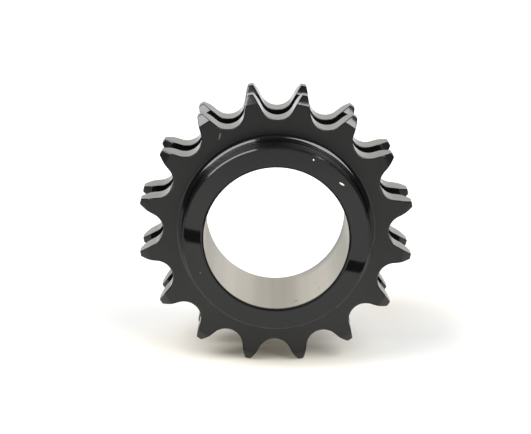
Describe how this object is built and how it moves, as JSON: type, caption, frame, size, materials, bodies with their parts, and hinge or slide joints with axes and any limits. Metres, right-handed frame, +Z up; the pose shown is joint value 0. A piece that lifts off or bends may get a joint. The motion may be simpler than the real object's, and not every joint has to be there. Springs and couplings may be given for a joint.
{
  "type": "drive sprocket",
  "caption": "Black double-row roller chain sprocket turned from one piece, with a boss on one side and a plain bright bore.",
  "frame": {"origin": "on the axis of the bore, in the middle plane between the two rows of teeth", "axes": "+Y along the bore, away from the boss; +Z up through the space between two teeth; the teeth at the bottom stand on the surface"},
  "size_m": [0.0686, 0.0296, 0.0686],
  "materials": {
    "blackened_steel": "black oxide over turned steel, satin on the plates and glossier on the boss, with a bare machined bore"
  },
  "bodies": {
    "root": {"sprocket": "blackened_steel"}
  },
  "joints": []
}
